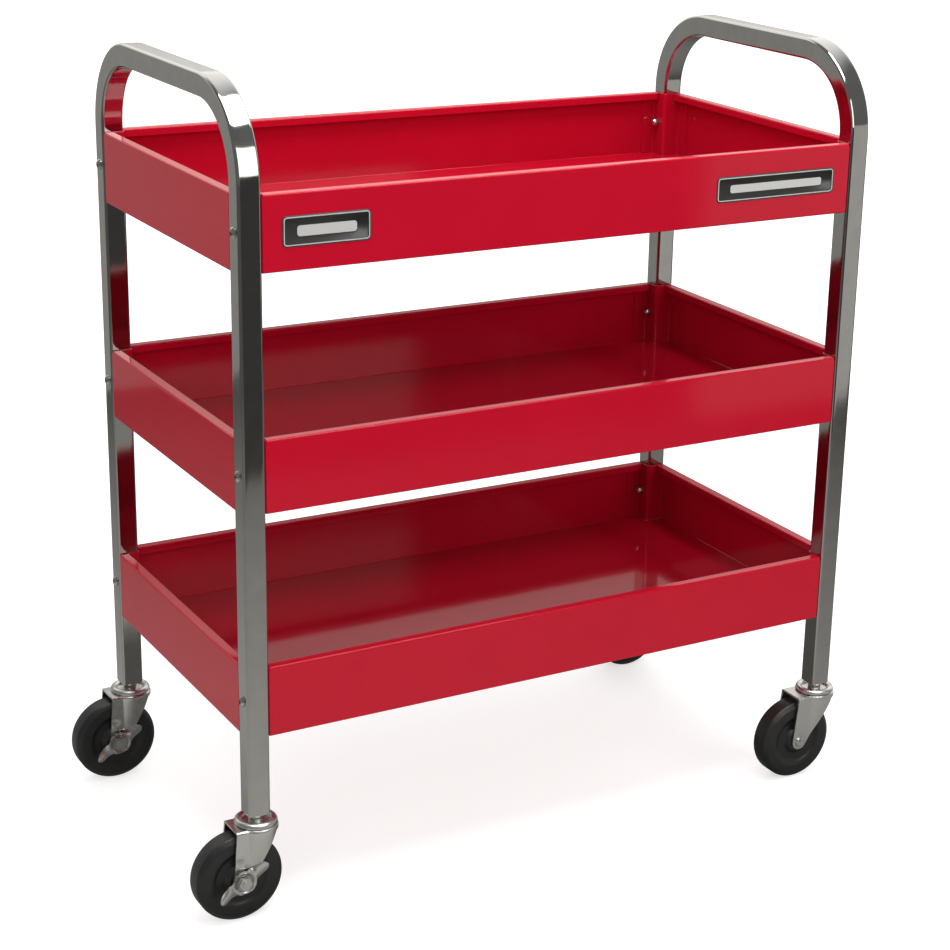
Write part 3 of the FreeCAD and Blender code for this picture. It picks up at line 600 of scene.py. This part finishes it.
def pressed_fork(pivot, axle, top, half_width, style):
    """Presses the head and skirt, hangs the legs, and trims them to the axle's round tip."""
    back, front, bow = FORK_STYLES[style]
    waist = math.asin(half_width / FORK_HEAD)
    fork = bmesh.new()
    rear = fork.verts.new((-back, -half_width, 0))
    first = fork.verts.new((-FORK_HEAD * math.cos(waist), -half_width, 0))
    turned = bmesh.ops.spin(
        fork, geom=[first], cent=(0, 0, 0), axis=(0, 0, 1), angle=2 * (math.pi - waist),
        steps=HEAD_STEPS, use_duplicate=False,
    )["geom_last"]
    last = [item for item in turned if isinstance(item, bmesh.types.BMVert)][0]
    far_rear = fork.verts.new((-back, half_width, 0))
    for start, end in ((rear, first), (last, far_rear), (far_rear, rear)):
        fork.edges.new((start, end))
    touch = MM / 1000
    outline = [edge for edge in fork.edges if not all(end.co.x < touch - back for end in edge.verts)]
    bmesh.ops.contextual_create(fork, geom=fork.edges[:])
    # The legs go on down from the skirt, from its rear end to the corner nearest their front edge.
    front = min((corner.co.x for corner in fork.verts), key=lambda place: abs(place - front))
    skirt = extend(fork, outline, (0, 0, -FORK_SKIRT))
    hung = [edge for edge in skirt if max(end.co.x for end in edge.verts) < front + MM / 100]
    hems = extend(fork, hung, (0, 0, -FORK_DROP))
    for corner in {corner for edge in hems for corner in edge.verts}:
        if corner.co.x < MM / 100 - back:
            corner.co.x -= FORK_FLARE
        elif corner.co.x > front - MM / 100:
            corner.co.x += FORK_FLARE
    folds = [
        edge for edge in fork.edges
        if len(edge.link_faces) == 2 and all(abs(end.co.z) < touch for end in edge.verts)
    ]
    bmesh.ops.bevel(fork, geom=folds, offset=FORK_FOLD, segments=5, profile=0.5, affect="EDGES", material=-1)
    below = MM / 10 - FORK_SKIRT
    centre = Vector((axle.x - pivot.x, 0, axle.z - top))
    front_start = Vector((front, 0, -FORK_SKIRT))
    ahead = tangent(centre, FORK_TIP, front_start, 1)
    behind = tangent(centre, FORK_TIP, Vector((-back, 0, -FORK_SHEET)), -1)
    slice_faces(fork, legs_of(fork, below), Vector((-back, 0, -FORK_SHEET)), behind)
    if bow:
        grazed = centre + ahead * FORK_TIP
        half_turn = math.asin((front_start - grazed).length / 2 / bow)
        hub = (front_start + grazed) / 2 - ahead * bow * math.cos(half_turn)
        for step in range(BOW_STEPS + 1):
            lean = half_turn * (2 * step / BOW_STEPS - 1)
            normal = Matrix.Rotation(lean, 3, "Y") @ ahead
            slice_faces(fork, legs_of(fork, below), hub + normal * bow, normal)
    else:
        slice_faces(fork, legs_of(fork, below), front_start, ahead)
    start, end = math.atan2(ahead.z, ahead.x), math.atan2(behind.z, behind.x)
    sweep = (start - end) % (2 * math.pi)
    for step in range(TIP_STEPS + 1):
        angle = start - sweep * step / TIP_STEPS
        normal = Vector((math.cos(angle), 0, math.sin(angle)))
        slice_faces(fork, legs_of(fork, below), centre + normal * FORK_TIP, normal)
    # Cuts across the legs let them swell out to meet the round head, less and less further down,
    # and the press draws a shallow boss above the axle of a braked fork.
    for axis, low, count in ((0, -back - FORK_TIP, CUTS_ALONG), (2, -FORK_DROP, CUTS_UP)):
        normal = Vector((0, 0, 0))
        normal[axis] = 1
        for step in range(count):
            slice_faces(fork, legs_of(fork, below), normal * (low + step * MESH_STEP), normal, False)
    boss = centre + Vector((-BOSS_BACK, 0, BOSS_RISE))
    for corner in fork.verts:
        if corner.co.z < below and corner.co.x < front + MM / 100:
            depth = (-corner.co.z - FORK_SKIRT) / (FORK_DROP - FORK_SKIRT)
            round_side = math.sqrt(max(0, FORK_HEAD ** 2 - corner.co.x ** 2))
            swell = max(0, round_side - half_width) * (1 - depth)
            if bow:
                reach = math.hypot(corner.co.x - boss.x, corner.co.z - boss.z)
                swell += BOSS_HEIGHT * math.exp(-((reach / BOSS_RADIUS) ** 2))
            corner.co.y = math.copysign(half_width + swell, corner.co.y)
    bmesh.ops.remove_doubles(fork, verts=fork.verts[:], dist=MM / 100)
    turn_outwards(fork, Vector((0, 0, 1)))
    bmesh.ops.translate(fork, verts=fork.verts[:], vec=(pivot.x, pivot.y, top))
    return fork


for corner in CORNERS:
    stem_low, stem_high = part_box(f"{corner}_caster_stem")
    wheel_low, wheel_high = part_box(f"{corner}_wheel")
    fork_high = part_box(f"{corner}_fork")[1]
    sleeve_low, sleeve_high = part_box(f"{corner}_hub_sleeve")
    style = "brake" if corner.endswith("left") else "plain"
    half_width = (sleeve_high.y - sleeve_low.y) / 2 + FORK_SHEET
    fork = pressed_fork(
        (stem_low + stem_high) / 2, (wheel_low + wheel_high) / 2, fork_high.z, half_width, style
    )
    piece = make_piece(
        fork, f"{corner}_pressed_fork", [zinc], f"{corner}_swivel", [f"{corner}_fork"]
    )
    finish_sheet(piece, FORK_SHEET, PRESSED_DEBURR)

# ---- wheels, sleeves and axles --------------------------------------------------------------
# The wheels are moulded in one piece from hard black rubber, with a sunk ring between tread and
# hub. Each turns on a zinc-plated steel sleeve, on a bolt where there is a brake or on a rivet.


def moulded_rubber(tree, place):
    """Uneven mould gloss and dust in the surface."""
    dust = add(tree, "ShaderNodeTexNoise", {"Scale": 1 / (9 * MM), "Detail": 6}, {"Vector": place})
    fine = add(tree, "ShaderNodeTexNoise", {"Scale": 1 / (0.8 * MM), "Detail": 2}, {"Vector": place})
    tint = add(
        tree, "ShaderNodeMix", {6: linear("#141414"), 7: linear("#1F1F1F")},
        {"Factor": dust.outputs["Fac"]}, data_type="RGBA",
    )
    rough = add(
        tree, "ShaderNodeMapRange", {"To Min": 0.32, "To Max": 0.5}, {"Value": dust.outputs["Fac"]}
    )
    bump = add(
        tree, "ShaderNodeBump", {"Strength": 0.2, "Distance": 0.05 * MM}, {"Height": fine.outputs["Fac"]}
    )
    return {
        "Base Color": tint.outputs[2],
        "Roughness": rough.outputs["Result"],
        "Normal": bump.outputs["Normal"],
    }


# Moulded hard rubber: near black, with a satin shine that catches light only at its edges.
rubber = new_material("moulded_black_rubber", {"IOR": 1.5}, moulded_rubber)

WHEEL_STEPS = 96
# Half of the wheel's section in millimetres, corner by corner: distance from its middle plane,
# radius, and rounding.
WHEEL_SECTION = (
    (15.4, 6.7, 0), (15.4, 13.5, 1.2), (13.2, 15.5, 0.6), (10.6, 17.5, 1.2), (10.4, 28, 1.5), (13, 31, 1),
    (14, 34, 1), (14, 44.5, 0.6), (9.5, 50, 1.4), (0, 50, 0),
)


def moulded_wheel(low, high):
    """Turns the section about the axle, then mirrors it about the wheel's middle plane."""
    centre = (low + high) / 2
    wheel = bmesh.new()
    corners = [wheel.verts.new((0, -across * MM, radius * MM)) for across, radius, _ in WHEEL_SECTION]
    for start, end in zip(corners, corners[1:]):
        wheel.edges.new((start, end))
    for corner, (across, radius, rounding) in zip(corners, WHEEL_SECTION):
        if rounding:
            bmesh.ops.bevel(
                wheel, geom=[corner], offset=rounding * MM, segments=3, profile=0.5, affect="VERTICES",
                material=-1,
            )
    bmesh.ops.spin(
        wheel, geom=wheel.verts[:] + wheel.edges[:], cent=(0, 0, 0), axis=(0, 1, 0), angle=2 * math.pi,
        steps=WHEEL_STEPS, use_merge=True, use_duplicate=False,
    )
    mirror_copy(wheel, 1, 0)
    bmesh.ops.remove_doubles(wheel, verts=wheel.verts[:], dist=MM / 100)
    bore = [edge for edge in wheel.edges if edge.is_boundary]
    bmesh.ops.bridge_loops(wheel, edges=bore)
    turn_outwards(wheel, Vector((0, 0, 1)))
    bmesh.ops.translate(wheel, verts=wheel.verts[:], vec=centre)
    return wheel


for corner in CORNERS:
    node = f"{corner}_wheel"
    wheel = moulded_wheel(*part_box(node))
    make_piece(
        wheel, f"{corner}_moulded_wheel", [rubber], f"{corner}_roller", [node]
    )
    dress(f"{corner}_hub_sleeve", zinc)
    if corner.endswith("left"):
        dress(f"{corner}_axle_bolt", zinc)
        dress(f"{corner}_axle_nut", zinc)
    else:
        dress(f"{corner}_axle_rivet", zinc)

# ---- brake levers ---------------------------------------------------------------------------
# Each lever is pressed from zinc-plated sheet: a dished middle round the axle nut, a rounded ear
# at the upper end and a tongue at the lower end that curls out under the toe.

LEVER_TILT = math.radians(31)
LEVER_SHEET = 1.8 * MM
LEVER_CUTS_ALONG = 44
LEVER_CUTS_ACROSS = 14
# The rest of the lever's sizes are in plain millimetres. First, its outline from above.
LEVER_REACH = 33
EAR_HALF_WIDTH = 6.6
TONGUE_HALF_WIDTH = 5.6
EYE_SWELL = 7.4
EYE_SPREAD = 12.5
ENDS_ROUND_FROM = 25
ENDS_ROUND_OVER = 8.05
# Each step in the dish: the radius it is at, how far it rises or drops, and how gently.
DISH_RISE = (10.6, 4.2, 0.9)
DISH_DROP = (15.5, 3.2, 1.3)
# Past this share of its reach the tongue curls out and the ear leans out.
BEND_FROM = 0.45
TONGUE_CURL = 16
EAR_LEAN = 3
EDGE_DROOP = 1.5
DROOP_FROM = 15


def pressed_step(ring, step):
    """How far a rounded step in the pressing has risen at this distance from the axle."""
    radius, height, slope = step
    return height / (1 + math.exp((radius - ring) / slope))


def pressed_lever(high, axle):
    """Presses a flat blank: its width, dish and curl all follow from the place along the lever."""
    lever = bmesh.new()
    bmesh.ops.create_grid(lever, x_segments=LEVER_CUTS_ALONG, y_segments=LEVER_CUTS_ACROSS, size=1)
    for corner in lever.verts:
        along = corner.co.x * LEVER_REACH
        width = EAR_HALF_WIDTH if along > 0 else TONGUE_HALF_WIDTH
        width += EYE_SWELL * math.exp(-((along / EYE_SPREAD) ** 2))
        past = max(0, (abs(along) - ENDS_ROUND_FROM) / ENDS_ROUND_OVER)
        across = corner.co.y * width * math.sqrt(1 - past * past)
        ring = math.hypot(along, across)
        rise = pressed_step(ring, DISH_RISE) - pressed_step(ring, DISH_DROP)
        rise += TONGUE_CURL * max(0, -along / LEVER_REACH - BEND_FROM) ** 1.6
        rise += EAR_LEAN * max(0, along / LEVER_REACH - BEND_FROM)
        if ring > DROOP_FROM:
            rise -= EDGE_DROOP * (across / width) ** 2
        corner.co = (along * MM, -rise * MM, across * MM)
    tilt = Matrix.Rotation(-LEVER_TILT, 3, "Y")
    bmesh.ops.rotate(lever, verts=lever.verts[:], cent=(0, 0, 0), matrix=tilt)
    turn_outwards(lever, Vector((0, -1, 0)))
    bmesh.ops.translate(lever, verts=lever.verts[:], vec=(axle.x, high.y - LEVER_SHEET, axle.z))
    return lever


for corner in ("front_left", "back_left"):
    node = f"{corner}_brake_lever"
    nut_low, nut_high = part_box(f"{corner}_axle_nut")
    lever = pressed_lever(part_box(node)[1], (nut_low + nut_high) / 2)
    piece = make_piece(
        lever, f"{corner}_pressed_lever", [zinc], f"{corner}_brake", [node]
    )
    finish_sheet(piece, LEVER_SHEET, PRESSED_DEBURR)

# ---- floor, light and camera ------------------------------------------------------------------
# A plain pale studio floor, glowing a little so that it shows white all over. Polished parts see a
# dimmer floor instead, and upright cards round it, because a real studio ends in a dark room.

FLOOR_HALF = 12
REFLECTED_FLOOR_HALF = 6


def stage_plane(name, half, upright=None, place=(0, 0, 0)):
    """A flat rectangle on the stage, which is not part of the object; upright gives its half sizes."""
    mesh = bmesh.new()
    bmesh.ops.create_grid(mesh, x_segments=1, y_segments=1, size=half)
    if upright:
        bmesh.ops.scale(mesh, verts=mesh.verts[:], vec=(*upright, 1))
        stand = Matrix.Rotation(math.pi / 2, 3, "X")
        bmesh.ops.rotate(mesh, verts=mesh.verts[:], cent=(0, 0, 0), matrix=stand)
    bmesh.ops.translate(mesh, verts=mesh.verts[:], vec=place)
    data = bpy.data.meshes.new(name)
    mesh.to_mesh(data)
    mesh.free()
    plane = bpy.data.objects.new(name, data)
    bpy.context.scene.collection.objects.link(plane)
    return plane


def painted_floor(tree, place):
    """Faint unevenness of a rolled-on floor paint, and a glow that grows towards the far edge."""
    mottle = add(tree, "ShaderNodeTexNoise", {"Scale": 1 / (333 * MM), "Detail": 3}, {"Vector": place})
    tint = add(
        tree, "ShaderNodeMix", {6: linear("#BCBCBB"), 7: linear("#C2C2C1")},
        {"Factor": mottle.outputs["Fac"]}, data_type="RGBA",
    )
    away = add(tree, "ShaderNodeVectorMath", links={0: place}, operation="LENGTH")
    glow = add(
        tree, "ShaderNodeMapRange", {"From Min": 0.6, "From Max": 3, "To Min": 0.6, "To Max": 0.95},
        {"Value": away.outputs["Value"]},
    )
    seen = add(tree, "ShaderNodeLightPath")
    shown = add(
        tree, "ShaderNodeMath", links={0: glow.outputs["Result"], 1: seen.outputs["Is Camera Ray"]},
        operation="MULTIPLY",
    )
    return {"Base Color": tint.outputs[2], "Emission Strength": shown.outputs["Value"]}


# Matt white paint: pale grey by itself, and white to the eye with the glow.
floor_paint = new_material(
    "matt_white_floor_paint", {"Roughness": 0.9, "Emission Color": linear("#FFFFFF")}, painted_floor
)
floor = stage_plane("studio_floor", FLOOR_HALF)
floor.data.materials.append(floor_paint)
floor.visible_glossy = False


def reflected_light(name, strength):
    """A glow that only polished parts see; strength(tree, place) gives its brightness."""
    glow = bpy.data.materials.new(name)
    glow.use_nodes = True
    tree = glow.node_tree
    tree.nodes.clear()
    place = add(tree, "ShaderNodeTexCoord").outputs["Object"]
    light = add(tree, "ShaderNodeEmission", {"Color": linear("#FBF8F3")})
    level = strength(tree, place)
    if isinstance(level, (int, float)):
        light.inputs["Strength"].default_value = level
    else:
        tree.links.new(level, light.inputs["Strength"])
    add(tree, "ShaderNodeOutputMaterial", links={"Surface": light.outputs["Emission"]})
    return glow


def only_in_reflections(plane, glow):
    """Gives a stage plane its glow and hides it from everything but reflections."""
    plane.data.materials.append(glow)
    plane.visible_camera = False
    plane.visible_diffuse = False
    plane.visible_shadow = False


def pool_of_light(tree, place):
    """Brightest just left of the cart, fading with distance, and dark in the cart's own shade."""
    away = add(tree, "ShaderNodeVectorMath", {1: (-0.3, -0.25, 0)}, {0: place}, operation="DISTANCE")
    fade = add(
        tree, "ShaderNodeMapRange", {"From Min": 0.2, "From Max": 2.0, "To Min": 0.6, "To Max": 0.14},
        {"Value": away.outputs["Value"]},
    )
    spread = add(tree, "ShaderNodeVectorMath", {1: (2.2, 3.6, 0)}, {0: place}, operation="MULTIPLY")
    size = add(tree, "ShaderNodeVectorMath", links={0: spread.outputs["Vector"]}, operation="ABSOLUTE")
    parts = add(tree, "ShaderNodeSeparateXYZ", links={"Vector": size.outputs["Vector"]})
    edge = add(
        tree, "ShaderNodeMath", links={0: parts.outputs["X"], 1: parts.outputs["Y"]}, operation="MAXIMUM"
    )
    shade = add(
        tree, "ShaderNodeMapRange", {"From Min": 0.7, "From Max": 1.3, "To Min": 0.25, "To Max": 1},
        {"Value": edge.outputs["Value"]}, interpolation_type="SMOOTHSTEP",
    )
    level = add(
        tree, "ShaderNodeMath", links={0: fade.outputs["Result"], 1: shade.outputs["Result"]},
        operation="MULTIPLY",
    )
    return level.outputs["Value"]


def sweep_light(tree, place):
    """The paper sweep behind the cart: dimmer low down, and brightest above handle height."""
    parts = add(tree, "ShaderNodeSeparateXYZ", links={"Vector": place})
    rise = add(
        tree, "ShaderNodeMapRange", {"From Min": 0.9, "From Max": 1.55, "To Min": 0.4, "To Max": 1.6},
        {"Value": parts.outputs["Z"]},
    )
    return rise.outputs["Result"]


lower_floor = stage_plane("floor_in_reflections", REFLECTED_FLOOR_HALF, place=(0, 0, -1 * MM))
only_in_reflections(lower_floor, reflected_light("floor_pool", pool_of_light))
# Each upright card: its middle, its half width and half height, and what gives its brightness.
UPRIGHT_CARDS = {
    "sweep_card": ((1.4, 1.75, 1.3), (2.75, 1.3), sweep_light),
    "dark_card": ((0.38, -1.55, 0.45), (0.72, 0.45), lambda tree, place: 0.07),
    "low_front_card": ((0.3, -1.5, 1.32), (0.62, 0.45), lambda tree, place: 3),
    "right_front_card": ((1.9, -1.5, 0.45), (0.8, 0.45), lambda tree, place: 0.65),
}
for name, (place, (half_width, half_height), strength) in UPRIGHT_CARDS.items():
    card = stage_plane(name, 1, (half_width, half_height), place)
    only_in_reflections(card, reflected_light(f"{name}_light", strength))

# Soft light from all round: bright behind the cart, dimmer overhead, and dim towards the room,
# with a little more of it for surfaces that scatter light.
BEHIND_THE_CART = (0.5, 0.86, 0)
SCATTERED_FILL = 0.35
world = bpy.data.worlds.new("studio")
bpy.context.scene.world = world
world.use_nodes = True
tree = world.node_tree
tree.nodes.clear()
toward = add(tree, "ShaderNodeTexCoord").outputs["Generated"]
behind = add(
    tree, "ShaderNodeVectorMath", {1: BEHIND_THE_CART}, {0: toward}, operation="DOT_PRODUCT"
)
sweep = add(
    tree, "ShaderNodeMapRange", {"From Min": 0.15, "From Max": 0.85, "To Min": 0.2, "To Max": 1.5},
    {"Value": behind.outputs["Value"]}, interpolation_type="SMOOTHSTEP",
)
seen = add(tree, "ShaderNodeLightPath")
filled = add(
    tree, "ShaderNodeMath", {1: SCATTERED_FILL},
    {0: seen.outputs["Is Diffuse Ray"], 2: sweep.outputs["Result"]}, operation="MULTIPLY_ADD",
)
strength = add(
    tree, "ShaderNodeMix", {3: 1}, {0: seen.outputs["Is Camera Ray"], 2: filled.outputs["Value"]},
    data_type="FLOAT",
)
sky = add(
    tree, "ShaderNodeBackground", {"Color": linear("#FFFFFF")}, {"Strength": strength.outputs[0]}
)
add(tree, "ShaderNodeOutputWorld", links={"Surface": sky.outputs["Background"]})


def soft_box(name, place, aim, width, depth, power):
    """A rectangular studio light that faces the aim."""
    lamp = bpy.data.lights.new(name, "AREA")
    lamp.shape = "RECTANGLE"
    lamp.size = width
    lamp.size_y = depth
    lamp.energy = power
    item = bpy.data.objects.new(name, lamp)
    item.location = place
    item.rotation_euler = (Vector(aim) - Vector(place)).to_track_quat("-Z", "Y").to_euler()
    bpy.context.scene.collection.objects.link(item)
    return item


soft_box(
    "overhead_box", place=(0.1, -0.4, 2.4), aim=(0.1, -0.4, 0), width=2.0, depth=1.2, power=50
)
front = soft_box(
    "front_box", place=(-1.5, -2.3, 1.9), aim=(0, 0, 0.5), width=1.8, depth=1.8, power=33
)
right = soft_box(
    "right_box", place=(1.6, -2.4, 1.3), aim=(0.1, 0, 0.45), width=1.6, depth=1.6, power=20
)
front.visible_glossy = False
right.visible_glossy = False

# The camera stands off the cart's front left corner, a little above handle height.
CAMERA_PLACE = (-1.18095, -2.1581, 1.2344)
CAMERA_HEADING = math.radians(-30.87)
CAMERA_PITCH = math.radians(90 - 18.62)
CAMERA_ROLL = math.radians(1.55)
camera = bpy.data.cameras.new("camera")
camera.lens = 82.53
camera.sensor_width = 36
camera.shift_x = -0.0683
camera.shift_y = -0.0094
viewer = bpy.data.objects.new("camera", camera)
turn = Matrix.Rotation(CAMERA_HEADING, 4, "Z") @ Matrix.Rotation(CAMERA_PITCH, 4, "X")
turn = turn @ Matrix.Rotation(CAMERA_ROLL, 4, "Z")
viewer.matrix_world = Matrix.Translation(CAMERA_PLACE) @ turn
bpy.context.scene.collection.objects.link(viewer)
bpy.context.scene.camera = viewer
